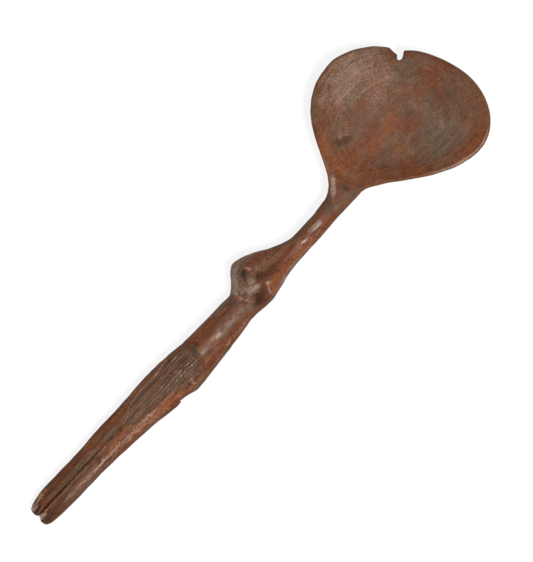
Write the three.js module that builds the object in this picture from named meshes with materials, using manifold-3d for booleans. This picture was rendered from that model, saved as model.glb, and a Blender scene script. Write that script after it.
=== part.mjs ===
// Carved wooden spoon whose handle is a standing figure: its bowl takes the place of the head.
// The spoon lies on its back with the hollow up. Millimetres, +Z up.
// The origin is on the table under the bowl, and +X runs from the feet to the tip of the bowl.
// Right and left are the figure's own, so its right side is +Y.
// The real spoon is one piece of wood. Each named section of the carving is a solid of its own here,
// and neighbours meet on flat faces square to the spoon, or on the plane between the legs.
import * as THREE from "three";
import { LoftGeometry } from "three/addons/geometries/LoftGeometry.js";
import { mergeVertices } from "three/addons/utils/BufferGeometryUtils.js";
import Module from "manifold-3d";

// Lengths of the sections, in order from the bowl to the feet
const BOWL_TIP_REACH = 37.8; // origin to the tip of the bowl
const BOWL_BACK_REACH = 68; // origin to the joint of bowl and neck
const NECK_LENGTH = 38;
const BUST_LENGTH = 35;
const TORSO_LENGTH = 36;
const HIPS_LENGTH = 47;
const LEG_LENGTH = 66;
const RIGHT_FOOT_LENGTH = 11.6;
const LEFT_FOOT_LENGTH = 12;

// Outline of the bowl, seen from above
const BOWL_RIGHT_REACH = 53.9; // centre line to the right lobe
const BOWL_LEFT_REACH = 38.8; // centre line to the left lobe
const RIGHT_LOBE_SETBACK = 8.8; // origin back to the widest point of the right lobe
const LEFT_LOBE_ADVANCE = 12.4; // origin forward to the widest point of the left lobe
const TIP_SHIFT = 7; // the tip lies this far to the left of the centre line
const RIGHT_LOBE_FULLNESS = 1.7; // exponents of the round stretch between each lobe and the tip
const LEFT_LOBE_FULLNESS = 2;
const LEFT_FLARE_REACH = 49.8; // origin back to where the left edge leaves the line of the neck
const RIGHT_LOBE_HANDLE = 42.5; // lengths of the tangents that shape the two flares
const RIGHT_FLARE_HANDLE = 21.9;
const LEFT_LOBE_HANDLE = 27.7;
const LEFT_FLARE_HANDLE = 12.7;

// Heights and walls of the bowl
const RIM_HEIGHT_BACK = 15.6; // middle of the rim above the table where the flare ends
const RIM_HEIGHT_SIDE = 17;
const RIM_HEIGHT_TIP = 18.2;
const RIM_BACK_REACH = 44; // origin back to where the flare ends
const FLOOR_THICKNESS = 5;
const RIM_THICKNESS = 3.2;
const RIM_ROUNDING = 1.5; // depth of the rounded edge, measured inwards from the outline
const REST_DEPTH = 0.9; // wood worn off flat under the bowl
const FLOOR_BACK_REACH = 14; // origin back to where the level floor ends
const HEEL_REACH = 51; // origin back to the heel, where the hollow starts on the centre line
const HEEL_SKEW = 0.5; // the heel's edge runs this much further back for each millimetre to the right
const HEEL_SPAN = 12; // half of the skewed edge's length across the spoon
const FLOOR_SHIFT = 5.5; // the deepest line lies this far to the right of the centre line
const HOLLOW_FULLNESS = 2.3; // exponent of the hollow's round section

// Broken notch in the rim of the bowl
const NOTCH_WIDTH = 3;
const NOTCH_DEPTH = 5.8;
const NOTCH_BEARING = 50.5; // degrees from +X towards the right, about the middle of the bowl
const NOTCH_SPLAY = 1.6; // how much wider the notch is at the rim, on its right side

// Main cross sections of the handle: reach to the right and left of the centre line,
// height of the front and of the back above the table, place of the crest line across the spoon,
// and fullness, the exponent of the section's outline: 2 is an oval and more is squarer
const NECK_ROOT = { right: 4.4, left: 7.3, front: 17.4, back: 7, crest: -1.4, fullness: 2 };
const NECK_STEM = { right: 3.4, left: 7.7, front: 17.1, back: 7.3, crest: -2, fullness: 2 };
const NECK_WAIST = { right: 3.45, left: 7.9, front: 17, back: 7.3, crest: -2.2, fullness: 2 };
const NECK_BASE = { right: 8.6, left: 8.6, front: 17.6, back: 5.6, crest: 0, fullness: 2 };
const BREAST_LINE = { right: 17.3, left: 12.2, front: 19, back: 3.4, crest: 4.5, fullness: 2 };
const UNDER_BUST = { right: 6.6, left: 11.1, front: 16.8, back: 3.6, crest: -1.6, fullness: 2.1 };
const BELLY = { right: 7, left: 13.1, front: 17.8, back: 3, crest: -2.8, fullness: 2.1 };
const BELLY_EDGE = { right: 7.6, left: 15.4, front: 17, back: 1.8, crest: -1.5, fullness: 2.2 };
const APRON_EDGE = { right: 7.6, left: 15.4, front: 16, back: 1.4, crest: 0, fullness: 2.4 };
const HIP_LINE = { right: 9, left: 15.9, front: 16.8, back: -0.7, crest: 0, fullness: 2.5 };
const THIGH = { right: 9.8, left: 14.2, front: 16.2, back: 0.8, crest: 0, fullness: 2.5 };
const LEG_TOP = { right: 9.1, left: 11.5, front: 15, back: 2, crest: 0, fullness: 2.5 };
const SHIN = { right: 8.45, left: 8.95, front: 13, back: 2.6, crest: 0, fullness: 2.5 };
const ANKLE = { right: 8.6, left: 8.4, front: 12, back: 2.2, crest: 0, fullness: 2.5 };

// Where the sections that aren't at a joint lie
const NECK_STEM_DROP = 9; // from the joint of bowl and neck
const NECK_WAIST_DROP = 24;
const BREAST_DROP = 20; // from the joint of neck and bust
const BELLY_DROP = 17; // from the joint of bust and torso
const HIP_DROP = 11; // from the joint of torso and hips
const THIGH_DROP = 27;
const SHIN_DROP = 38; // from the joint of hips and legs

// Breasts: each rises from the front of the bust to a bowed edge, and falls from it to the waist.
// The drop is the apex's distance from the joint of neck and bust, and lower the underside's length.
const RIGHT_BREAST = { drop: 16.5, across: 10, rise: 7.2, lower: 13 };
const LEFT_BREAST = { drop: 14.5, across: -5, rise: 7.2, lower: 11.5 };
const BREAST_BOW = 0.09; // the edge bows back by this times the square of the distance from the apex
const BREAST_UPPER_LENGTH = 18;
const BREAST_LOWER_FULLNESS = 1.15; // exponent of the underside, where 1 is straight
const BREAST_HALF_WIDTH = 10;

// Groove between the legs, on the front and on the back
const GROOVE_DEPTH = 1.8;
const GROOVE_HALF_WIDTH = 1.6;
const GROOVE_RUN = 34; // length over which it reaches its full depth
const FRONT_GROOVE_DROP = 38; // from the joint of torso and hips
const BACK_GROOVE_DROP = 18;

// Toes
const TOE_WIDTH_SHARE = 0.68; // size of the blunt toe against the ankle
const TOE_HEIGHT_SHARE = 0.5;
const TOE_FULLNESS = 2.4; // exponent of the toe's round outline
const TOE_DROP = 1.2; // the toe's middle lies this far below the ankle's
const RIGHT_TOE_TAPER = 0.16; // share of its width that a foot loses evenly along its length
const LEFT_TOE_TAPER = 0.02;
const TOE_END_LENGTH = 1.3; // the toe's end is a low dome of this length
const TOE_END_REACH = 3; // from the plane between the feet to the middle of the dome
const TOE_FLAT_SHARE = 0.25; // size of the flat at the end of the dome against the dome

// Fineness of the solids
const RING_POINTS = 36;
const BOWL_STEPS = 36;
const STEP_LENGTH = 3.6;
const FOOT_STEPS = 7;
const TOE_END_STEPS = 3;
const TIP_FLAT = 0.03; // the tip ends in a flat this far short of its point
const HALVINGS = 40; // of the interval that is searched for a point of a flare
const RIM_SEARCH_STEP = 0.15; // for the place of the rim along the notch's bearing
const WELD_DISTANCE = 1e-4; // corners closer than this are one corner

// Places of the joints along the spoon
const NECK_TOP = -BOWL_BACK_REACH;
const BUST_TOP = NECK_TOP - NECK_LENGTH;
const TORSO_TOP = BUST_TOP - BUST_LENGTH;
const HIPS_TOP = TORSO_TOP - TORSO_LENGTH;
const LEGS_TOP = HIPS_TOP - HIPS_LENGTH;
const FEET_TOP = LEGS_TOP - LEG_LENGTH;

// A smooth curve through [place, value] pairs in rising order of place, with no overshoot between them.
function smoothCurve(pairs) {
  const last = pairs.length - 1;
  const spans = pairs.slice(1).map(([place], i) => place - pairs[i][0]);
  const slopes = pairs.slice(1).map(([, value], i) => (value - pairs[i][1]) / spans[i]);
  const tangents = pairs.map((_, i) => {
    if (i === 0) return slopes[0];
    if (i === last) return slopes[last - 1];
    if (slopes[i - 1] * slopes[i] <= 0) return 0;
    const before = 2 * spans[i] + spans[i - 1];
    const after = spans[i] + 2 * spans[i - 1];
    return (before + after) / (before / slopes[i - 1] + after / slopes[i]);
  });
  return (place) => {
    let i = 0;
    while (i < last - 1 && place > pairs[i + 1][0]) i += 1;
    const t = THREE.MathUtils.clamp((place - pairs[i][0]) / spans[i], 0, 1);
    const rise = pairs[i][1] * (1 + 2 * t) * (1 - t) ** 2 + pairs[i + 1][1] * t * t * (3 - 2 * t);
    return rise + spans[i] * (tangents[i] * t * (1 - t) ** 2 - tangents[i + 1] * t * t * (1 - t));
  };
}

// The sizes of a stretch of the handle at any place, through its main cross sections.
function profile(stations) {
  const keys = ["right", "left", "front", "back", "crest", "fullness"];
  const rising = [...stations].sort((a, b) => a.at - b.at);
  const curves = keys.map((key) => smoothCurve(rising.map((s) => [s.at, s[key]])));
  return (x) => Object.fromEntries(keys.map((key, i) => [key, curves[i](x)]));
}

const upperBody = profile([
  { at: NECK_TOP, ...NECK_ROOT },
  { at: NECK_TOP - NECK_STEM_DROP, ...NECK_STEM },
  { at: NECK_TOP - NECK_WAIST_DROP, ...NECK_WAIST },
  { at: BUST_TOP, ...NECK_BASE },
  { at: BUST_TOP - BREAST_DROP, ...BREAST_LINE },
  { at: TORSO_TOP, ...UNDER_BUST },
  { at: TORSO_TOP - BELLY_DROP, ...BELLY },
  { at: HIPS_TOP, ...BELLY_EDGE },
]);

const lowerBody = profile([
  { at: HIPS_TOP, ...APRON_EDGE },
  { at: HIPS_TOP - HIP_DROP, ...HIP_LINE },
  { at: HIPS_TOP - THIGH_DROP, ...THIGH },
  { at: LEGS_TOP, ...LEG_TOP },
  { at: LEGS_TOP - SHIN_DROP, ...SHIN },
  { at: FEET_TOP, ...ANKLE },
]);

// One half of a cosine bell: 1 at the middle, 0 at the given distance and beyond.
const bell = (distance, reach) => {
  const share = Math.min(1, Math.abs(distance) / reach);
  return (1 + Math.cos(Math.PI * share)) / 2;
};

function breastRise(x, y, breast) {
  const bow = BREAST_BOW * (y - breast.across) ** 2;
  const along = x - (BUST_TOP - breast.drop - bow);
  const below = Math.min(1, Math.abs(along) / breast.lower);
  const lengthwise = along > 0 ? bell(along, BREAST_UPPER_LENGTH) : 1 - below ** BREAST_LOWER_FULLNESS;
  return breast.rise * lengthwise * bell(y - breast.across, BREAST_HALF_WIDTH);
}

const bothBreasts = (x, y) => breastRise(x, y, RIGHT_BREAST) + breastRise(x, y, LEFT_BREAST);

function grooveDepth(x, y, startDrop) {
  const run = THREE.MathUtils.smoothstep(HIPS_TOP - startDrop - x, 0, GROOVE_RUN);
  return GROOVE_DEPTH * run * Math.max(0, 1 - Math.abs(y) / GROOVE_HALF_WIDTH);
}

const squared = (value, fullness) => Math.sign(value) * Math.abs(value) ** (2 / fullness);

// A point of the handle at a place along it. The angle runs from the right side over the front.
function handlePoint(body, x, angle) {
  const size = body(x);
  const across = squared(Math.cos(angle), size.fullness);
  const up = squared(Math.sin(angle), size.fullness);
  const y = size.crest + across * (across > 0 ? size.right - size.crest : size.left + size.crest);
  const middle = (size.front + size.back) / 2;
  const half = (size.front - size.back) / 2;
  let z = middle + half * up;
  if (body === upperBody && up > 0) z += bothBreasts(x, y) * Math.sqrt(up);
  if (body === lowerBody && up > 0) z -= grooveDepth(x, y, FRONT_GROOVE_DROP);
  if (body === lowerBody && up < 0) z += grooveDepth(x, y, BACK_GROOVE_DROP);
  return new THREE.Vector3(x, y, z);
}

// The edge of a flare between a lobe of the bowl and the neck: how far out it is at a place along the spoon.
function flareReach(x, lobe, root) {
  const curve = new THREE.CubicBezierCurve(
    new THREE.Vector2(root.at, root.reach),
    new THREE.Vector2(root.at + root.handle, root.reach),
    new THREE.Vector2(lobe.at - lobe.handle, lobe.reach),
    new THREE.Vector2(lobe.at, lobe.reach),
  );
  let low = 0;
  let high = 1;
  for (let halving = 0; halving < HALVINGS; halving += 1) {
    const middle = (low + high) / 2;
    if (curve.getPoint(middle).x < x) low = middle;
    else high = middle;
  }
  return curve.getPoint(low).y;
}

// The round stretch of the outline between a lobe and the tip.
function lobeReach(x, lobe) {
  const share = THREE.MathUtils.clamp((x - lobe.at) / (BOWL_TIP_REACH - lobe.at), 0, 1);
  const tipReach = lobe.side * -TIP_SHIFT;
  return tipReach + (lobe.reach - tipReach) * (1 - share ** lobe.fullness) ** (1 / lobe.fullness);
}

const RIGHT_LOBE = {
  side: 1,
  at: -RIGHT_LOBE_SETBACK,
  reach: BOWL_RIGHT_REACH,
  fullness: RIGHT_LOBE_FULLNESS,
  handle: RIGHT_LOBE_HANDLE,
};
const LEFT_LOBE = {
  side: -1,
  at: LEFT_LOBE_ADVANCE,
  reach: BOWL_LEFT_REACH,
  fullness: LEFT_LOBE_FULLNESS,
  handle: LEFT_LOBE_HANDLE,
};
const RIGHT_FLARE = { at: NECK_TOP, reach: NECK_ROOT.right, handle: RIGHT_FLARE_HANDLE };
const LEFT_FLARE = { at: -LEFT_FLARE_REACH, reach: NECK_ROOT.left, handle: LEFT_FLARE_HANDLE };

function bowlReach(x, lobe, flare) {
  if (x <= flare.at) return flare.reach;
  return x < lobe.at ? flareReach(x, lobe, flare) : lobeReach(x, lobe);
}

const neckRootMiddle = (NECK_ROOT.front + NECK_ROOT.back) / 2;
const neckRootHalf = (NECK_ROOT.front - NECK_ROOT.back) / 2;
const rimHeight = smoothCurve([
  [NECK_TOP, neckRootMiddle],
  [-RIM_BACK_REACH, RIM_HEIGHT_BACK],
  [0, RIM_HEIGHT_SIDE],
  [BOWL_TIP_REACH, RIM_HEIGHT_TIP],
]);
const keelLine = smoothCurve([
  [NECK_TOP, NECK_ROOT.crest],
  [-FLOOR_BACK_REACH, FLOOR_SHIFT],
  [0, FLOOR_SHIFT],
  [BOWL_TIP_REACH, -TIP_SHIFT],
]);

// Depth of the underside below the rim's lower face, and of the hollow's floor below its upper face
const bellyDepth = RIM_HEIGHT_SIDE - RIM_THICKNESS / 2 + REST_DEPTH;
const hollowDepth = RIM_HEIGHT_SIDE + RIM_THICKNESS / 2 + REST_DEPTH - FLOOR_THICKNESS;

// How much of its full depth the hollow has at a place: it starts with an edge at the heel and levels out.
function scoop(x, y) {
  const heel = -HEEL_REACH - HEEL_SKEW * THREE.MathUtils.clamp(y, -HEEL_SPAN, HEEL_SPAN);
  const share = THREE.MathUtils.clamp((x - heel) / (-FLOOR_BACK_REACH - heel), 0, 1);
  return 1 - (1 - share) ** 2;
}

// A point of the bowl: a rounded rim, with the hollow scooped out above it and the belly of the bowl below.
// Towards the neck the hollow gives way to the neck's crown, and the belly turns into the neck's oval.
function bowlPoint(x, angle) {
  const across = Math.cos(angle);
  const up = Math.sin(angle);
  const keel = keelLine(x);
  const right = bowlReach(x, RIGHT_LOBE, RIGHT_FLARE) - keel;
  const left = bowlReach(x, LEFT_LOBE, LEFT_FLARE) + keel;
  const side = across > 0 ? right : left;
  const y = keel + across * side;
  const towardsTip = THREE.MathUtils.clamp(x / BOWL_TIP_REACH, 0, 1);
  const bowlShare = THREE.MathUtils.smoothstep(x, NECK_TOP, -FLOOR_BACK_REACH);
  const dish = (1 - towardsTip ** HOLLOW_FULLNESS) * (1 - Math.abs(across) ** HOLLOW_FULLNESS);
  const edgeDistance = (up * up * (1 - towardsTip ** 2) * Math.max(side, BOWL_LEFT_REACH)) / 2;
  const edge = Math.sqrt(1 - (1 - Math.min(1, edgeDistance / RIM_ROUNDING)) ** 2);
  const lip = (RIM_THICKNESS / 2) * bowlShare * edge;
  if (up > 0) {
    const crown = neckRootHalf * (1 - THREE.MathUtils.smoothstep(x, NECK_TOP, -RIM_BACK_REACH)) * up;
    const hollow = hollowDepth * scoop(x, y) * dish;
    return new THREE.Vector3(x, y, rimHeight(x) + crown + lip - hollow);
  }
  const belly = THREE.MathUtils.lerp(-neckRootHalf * up, bellyDepth * dish, bowlShare);
  return new THREE.Vector3(x, y, rimHeight(x) - belly - lip);
}

// A ring of points at a place along the spoon, between two angles.
function ring(pointAt, x, points = RING_POINTS, from = 0, to = 2 * Math.PI) {
  const closed = to - from === 2 * Math.PI;
  const gaps = closed ? points : points - 1;
  return Array.from({ length: points }, (_, i) => pointAt(x, from + ((to - from) * i) / gaps));
}

const capped = { capStart: true, capEnd: true };

// Rings from one joint to the next, evenly spaced.
function stretch(pointAt, low, high, ...arc) {
  const steps = Math.ceil((high - low) / STEP_LENGTH);
  const rings = Array.from({ length: steps + 1 }, (_, i) => {
    return ring(pointAt, low + ((high - low) * i) / steps, ...arc);
  });
  return new LoftGeometry(rings, capped);
}

const alongUpper = (x, angle) => handlePoint(upperBody, x, angle);
const alongLower = (x, angle) => handlePoint(lowerBody, x, angle);

// Each leg is the half of the lower body on its side of the plane between them.
const HALF_RING_POINTS = RING_POINTS / 2 + 1;
const RIGHT_HALF = [HALF_RING_POINTS, -Math.PI / 2, Math.PI / 2];
const LEFT_HALF = [HALF_RING_POINTS, Math.PI / 2, (3 * Math.PI) / 2];

// A foot draws in from the ankle to a toe with a domed end. The two touch along the plane between them.
function footGeometry(half, side, length, taper) {
  const ankle = ring(alongLower, FEET_TOP, ...half);
  const height = new THREE.Box3().setFromPoints(ankle).getCenter(new THREE.Vector3()).z;
  const middle = new THREE.Vector3(FEET_TOP, 0, height);
  const toeBack = FEET_TOP - length + TOE_END_LENGTH;
  const drawn = Array.from({ length: FOOT_STEPS + 1 }, (_, i) => {
    const turn = ((1 - i / FOOT_STEPS) * Math.PI) / 2;
    const along = squared(Math.sin(turn), TOE_FULLNESS);
    const size = squared(Math.cos(turn), TOE_FULLNESS);
    const width = THREE.MathUtils.lerp(TOE_WIDTH_SHARE, 1, size) * (1 - taper * along);
    const tall = THREE.MathUtils.lerp(TOE_HEIGHT_SHARE, 1, size);
    return ankle.map((p) => {
      const drawnIn = p.clone().sub(middle).multiply(new THREE.Vector3(1, width, tall)).add(middle);
      return drawnIn.setX(THREE.MathUtils.lerp(FEET_TOP, toeBack, along)).setZ(drawnIn.z - TOE_DROP * along);
    });
  });
  const toeMiddle = new THREE.Vector3(toeBack, side * TOE_END_REACH, height - TOE_DROP);
  const dome = Array.from({ length: TOE_END_STEPS }, (_, i) => {
    const share = i / TOE_END_STEPS;
    const size = THREE.MathUtils.lerp(TOE_FLAT_SHARE, 1, share);
    const x = toeBack - TOE_END_LENGTH * (1 - share * share);
    return drawn[0].map((p) => toeMiddle.clone().lerp(p, size).setX(x));
  });
  return new LoftGeometry([...dome, ...drawn], capped);
}

// The bowl's rings crowd together towards the tip, where the outline turns.
function bowlGeometry() {
  const low = NECK_TOP;
  const high = BOWL_TIP_REACH - TIP_FLAT;
  const rings = Array.from({ length: BOWL_STEPS + 1 }, (_, i) => {
    const share = Math.sin(((i / BOWL_STEPS) * Math.PI) / 2);
    return ring(bowlPoint, low + (high - low) * share);
  });
  return new LoftGeometry(rings, capped);
}

// The notch's outline, drawn with its axis along X and its mouth outwards, then turned to its bearing.
function notchGeometry() {
  const bearing = THREE.MathUtils.degToRad(NOTCH_BEARING);
  const out = new THREE.Vector2(Math.cos(bearing), Math.sin(bearing));
  const middle = new THREE.Vector2(0, FLOOR_SHIFT);
  let rim = 0;
  const inside = (p) => p.x < BOWL_TIP_REACH && p.y < bowlReach(p.x, RIGHT_LOBE, RIGHT_FLARE);
  while (inside(middle.clone().addScaledVector(out, rim))) rim += RIM_SEARCH_STEP;
  const mouth = rim + NOTCH_DEPTH;
  const root = rim - NOTCH_DEPTH;
  const shape = new THREE.Shape([
    new THREE.Vector2(root, -NOTCH_WIDTH / 2),
    new THREE.Vector2(mouth, -NOTCH_WIDTH / 2),
    new THREE.Vector2(mouth, NOTCH_WIDTH / 2 + 2 * NOTCH_SPLAY),
    new THREE.Vector2(root + NOTCH_DEPTH / 2, NOTCH_WIDTH / 2),
    new THREE.Vector2(root, NOTCH_WIDTH / 2),
  ]);
  const tall = new THREE.ExtrudeGeometry(shape, { depth: 2 * RIM_HEIGHT_TIP, bevelEnabled: false });
  return tall.rotateZ(bearing).translate(middle.x, middle.y, 0);
}

const wasm = await Module();
wasm.setup();

function solidOf(geometry) {
  const bare = new THREE.BufferGeometry();
  bare.setAttribute("position", geometry.getAttribute("position"));
  bare.setIndex(geometry.getIndex());
  const merged = mergeVertices(bare, WELD_DISTANCE);
  const vertProperties = new Float32Array(merged.getAttribute("position").array);
  const triVerts = new Uint32Array(merged.getIndex().array);
  return new wasm.Manifold(new wasm.Mesh({ numProp: 3, vertProperties, triVerts }));
}

function geometryOf(solid) {
  const { vertProperties, triVerts } = solid.getMesh();
  const geometry = new THREE.BufferGeometry();
  geometry.setAttribute("position", new THREE.BufferAttribute(vertProperties, 3));
  geometry.setIndex(new THREE.BufferAttribute(triVerts, 1));
  geometry.computeVertexNormals();
  return geometry;
}

// A slab below the table's level, which planes the back of the spoon flat where it rests.
function tableSolid() {
  const width = 2 * (BOWL_RIGHT_REACH + BOWL_LEFT_REACH);
  const length = 2 * (BOWL_TIP_REACH - FEET_TOP + Math.max(RIGHT_FOOT_LENGTH, LEFT_FOOT_LENGTH));
  const depth = RIM_HEIGHT_TIP;
  return solidOf(new THREE.BoxGeometry(length, width, depth).translate(0, 0, -depth / 2));
}

const spoon = new THREE.Group();

function addSection(name, geometry, color, roughness) {
  const material = new THREE.MeshStandardMaterial({ color, roughness, metalness: 0 });
  const mesh = new THREE.Mesh(geometry, material);
  mesh.name = name;
  spoon.add(mesh);
}

const table = tableSolid();
const bowl = solidOf(bowlGeometry()).subtract(table).subtract(solidOf(notchGeometry()));
const hips = solidOf(stretch(alongLower, LEGS_TOP, HIPS_TOP)).subtract(table);

addSection("bowl", geometryOf(bowl), 0x765645, 0.55);
addSection("neck", stretch(alongUpper, BUST_TOP, NECK_TOP), 0x78503c, 0.4);
addSection("bust", stretch(alongUpper, TORSO_TOP, BUST_TOP), 0x724d3d, 0.45);
addSection("torso", stretch(alongUpper, HIPS_TOP, TORSO_TOP), 0x764d3b, 0.4);
addSection("hips", geometryOf(hips), 0x694e3f, 0.6);
addSection("right_leg", stretch(alongLower, FEET_TOP, LEGS_TOP, ...RIGHT_HALF), 0x6b4a39, 0.5);
addSection("left_leg", stretch(alongLower, FEET_TOP, LEGS_TOP, ...LEFT_HALF), 0x735343, 0.5);
const rightFoot = footGeometry(RIGHT_HALF, 1, RIGHT_FOOT_LENGTH, RIGHT_TOE_TAPER);
const leftFoot = footGeometry(LEFT_HALF, -1, LEFT_FOOT_LENGTH, LEFT_TOE_TAPER);
addSection("right_foot", rightFoot, 0x6e5040, 0.55);
addSection("left_foot", leftFoot, 0x6e5040, 0.55);

export default spoon;
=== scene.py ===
import math

import bpy
import numpy as np
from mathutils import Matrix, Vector


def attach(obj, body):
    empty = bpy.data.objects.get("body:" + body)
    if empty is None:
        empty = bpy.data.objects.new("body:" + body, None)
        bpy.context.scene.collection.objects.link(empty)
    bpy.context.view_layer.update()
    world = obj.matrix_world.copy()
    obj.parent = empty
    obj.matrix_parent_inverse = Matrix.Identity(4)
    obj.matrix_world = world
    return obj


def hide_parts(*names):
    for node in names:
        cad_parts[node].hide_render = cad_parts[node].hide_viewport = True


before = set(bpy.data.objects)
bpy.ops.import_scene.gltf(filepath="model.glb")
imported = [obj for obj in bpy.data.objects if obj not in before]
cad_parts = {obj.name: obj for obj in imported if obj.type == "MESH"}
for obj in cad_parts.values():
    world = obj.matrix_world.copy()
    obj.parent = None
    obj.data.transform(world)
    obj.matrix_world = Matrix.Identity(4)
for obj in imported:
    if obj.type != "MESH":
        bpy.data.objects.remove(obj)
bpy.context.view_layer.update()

# Bowl. It is broad and shallow and takes the place of the figure's head. The whole spoon is cut from one
# billet of red-brown hardwood, so the bowl is hollowed with a bent knife and rubbed smooth, not fixed on.
# Use has left its floor grey, its edge warm, and a piece broken out of the rim near the tip.
MM = 0.001  # lengths are millimetres until a mesh is made, with +X to the tip and +Y to the figure's right
NECK_TOP = -68  # joint of bowl and neck
BOWL_TIP = 37.8
TIP_SHIFT = -7  # the tip lies to the left of the centre line
TIP_FLAT = 0.03  # the last ring is this far short of the tip
RIGHT_EDGE = dict(side=1, lobe_at=-8.8, lobe=53.9, fullness=1.7, lobe_handle=42.5,
                  root_at=NECK_TOP, root=4.4, root_handle=21.9)
LEFT_EDGE = dict(side=-1, lobe_at=12.4, lobe=38.8, fullness=2, lobe_handle=27.7,
                 root_at=-49.8, root=7.3, root_handle=12.7)
FLARE_STEPS = 600
RIM_THICKNESS = 3.2
RIM_ROUNDING = 1.5
RIM_BACK = -44  # where the flare ends
RIM_BACK_HEIGHT, RIM_SIDE_HEIGHT, RIM_TIP_HEIGHT = 15.6, 17, 18.2
KEEL_SHIFT = 5.5  # the bowl is deepest this far to the right of the centre line
FLOOR_THICKNESS = 5
REST_DEPTH = 0.9  # wood worn off flat under the bowl
FLOOR_BACK = -14  # where the level floor ends
HOLLOW_FULLNESS = 2.3
RIGHT_LIP, LEFT_LIP = 0.8, 2  # the hollow starts this far inside the outline,
LIP_LIMIT = 0.8  # but never past this share of the way to the deepest line
HEEL_AT = -51  # where the hollow starts on the centre line
HEEL_SKEW = 0.5
HEEL_SPAN = 12
HEEL_SOFTNESS = 0.05  # share of the heel's slope over which its edge is rubbed round
NECK_ROOT_MIDDLE = 12.2
NECK_ROOT_HALF = 5.2
NECK_ROOT_CREST = -1.4
GOUGES = ((0.11, (11, 8, 8), 3), (0.05, (5, 4, 4), 4))  # height, wave lengths and seed of each ripple
MARK_FADE = 6  # the tools' marks fade over this length on both sides of the joint with the neck
NOTCH = ((18.2, 27.5), (19.6, 26.9), (20.9, 27.1), (23, 28.5), (24.6, 28.6), (29.3, 33.5), (22.3, 41.5),
         (19.1, 36), (19.1, 31.2), (19.3, 30), (18, 28.7))
NOTCH_LEVELS = (6, 14.5, 16, 17.4, 18.6, 26)
NOTCH_SWAY, NOTCH_TURNS = 0.25, 2.9  # the break sways from level to level
WORN_RIM = dict(at=23, depth=2.6, reach=4.5)  # the rim is worn back beside the notch
RING_POINTS = 320
FRONT_BUNCHING = 0.2  # the points of a ring lie closer together in front and behind
BOWL_STATIONS = 250
TIP_BUNCHING = 1.6  # and the rings at the tip
SHARP_EDGE = 50  # degrees

BOWL_RED = (0.168, 0.06, 0.03, 1)
BOWL_BROWN = (0.164, 0.087, 0.053, 1)
EMBER = (0.245, 0.08, 0.028, 1)
ASH = (0.138, 0.094, 0.062, 1)
# Worn wood, and painted highlights.
PALE_AND_HIGHLIGHT = (0.33, 0.205, 0.15, 1)
# A whitish worn film, and painted sheen and reflections.
BLOOM_AND_SHEEN = (0.34, 0.275, 0.215, 1)
# Dirt, and painted shade.
SOOT_AND_SHADE = (0.03, 0.014, 0.008, 1)
SPECK_WAVES = (1000, 1250, 1250)  # waves to a metre along each axis
GRAIN_WAVES = (26, 520, 520)
RELIEF, RELIEF_STRENGTH = 0.25, 0.5  # millimetres of fine relief
RUBBED_ROUGHNESS = 0.25
OIL_SHINE = 0.09

BOWL_WANDER = ((2.5, 2.5), (9, 9, 9), (11, 12))  # reach along x and y, wave lengths, and two seeds
STAIN_EDGE = 1.3  # an oval's edge is clearer the larger this is
BOWL_ASH = (
    (22, -10, 8, 9, 0.7), (17, 15, 6, 6, 0.7), (14, 22, 9, 8, 0.6), (14, 33, 5, 5, 0.6),
    (12, 0, 9, 6, 0.8, 20), (3, -17, 19, 13, 0.9, 25), (2, 7, 8, 6, 0.6), (-5, 40, 24, 12, 0.5),
    (-12, 21, 10, 7, 0.35), (-14, 31, 15, 7, 0.75, 8), (-33, 8, 6, 3, 0.5, 30), (-60, -3, 5, 4, 0.6),
)
BOWL_EMBER = (
    (27, 12, 4, 3, 0.2), (22, -29, 12, 4, 0.25, -45), (6, 29, 2.5, 2, 0.8), (-11, 6, 7, 4, 0.6, 50),
    (-18, -6, 8, 5, 0.5, 60), (-24, 6, 8, 5, 0.5, 30), (-26, 24, 4, 2, 0.8), (-37, -7, 9, 4, 0.6, -38),
    (-38, 22, 5, 4, 0.5), (-43, 6, 9, 9, 0.5), (-45, 24, 10, 3, 1, 58), (-46, 15, 4, 6, 0.7),
    (-46, -3, 2, 6, 0.8),
)
# Pale ovals: worn wood and scratches; the broad ones on the hollow's upper left are also painted light
# where the lamp falls on that wall.
BOWL_PALE_AND_SHEEN = (
    (10, 32, 5, 4, 0.45), (8, -14, 5, 3, 0.4, 45), (3, 35, 4, 0.8, 0.8, 45), (2, 27, 16, 8, 0.4),
    (2, 9, 6, 5, 0.3), (-1, 43, 3, 2, 0.85), (-6, 40, 24, 12, 0.6, 6), (-7, 21, 8, 5, 0.45),
    (-13, 30, 8, 5, 0.5), (-13, 44, 8, 3, 0.7), (-25, 45, 5, 4, 0.5), (-32.3, 21.5, 4, 1.1, 0.9, -70),
    (-38, -8, 4, 3, 0.3, -38),
)
# Dark ovals: dirt, and painted shadow beside the whitish scratch on the hollow's left.
BOWL_SOOT_AND_SHADE = (
    (24, -3, 8, 9, 0.35), (3, -3, 6, 4, 0.3), (0, 3, 4, 2.5, 0.35), (-30, -4, 8, 3, 0.35, 10),
    (-30.4, 21, 4, 1, 0.5, -70), (-36, 20, 6, 6, 0.6, 20), (-48, -4, 4, 3, 0.4), (-51, 2, 1.5, 5, 0.5, 15),
)
# The stains, painted highlights and painted shade at the heel of the hollow have clear edges.
HEEL_ASH = ((-54, -5, 8, 1.8, 0.8), (-68, 0, 7, 5, 0.6))
HEEL_EMBER = ((-50.4, 4, 10, 1.6, 0.9, 96),)
# Painted highlights on the flare's right ridge and on the neck's crest at the joint.
HEEL_HIGHLIGHTS = ((-57.8, 5.7, 7.2, 1.6, 1, 42), (-64, -3, 4, 1.2, 0.55))
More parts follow.
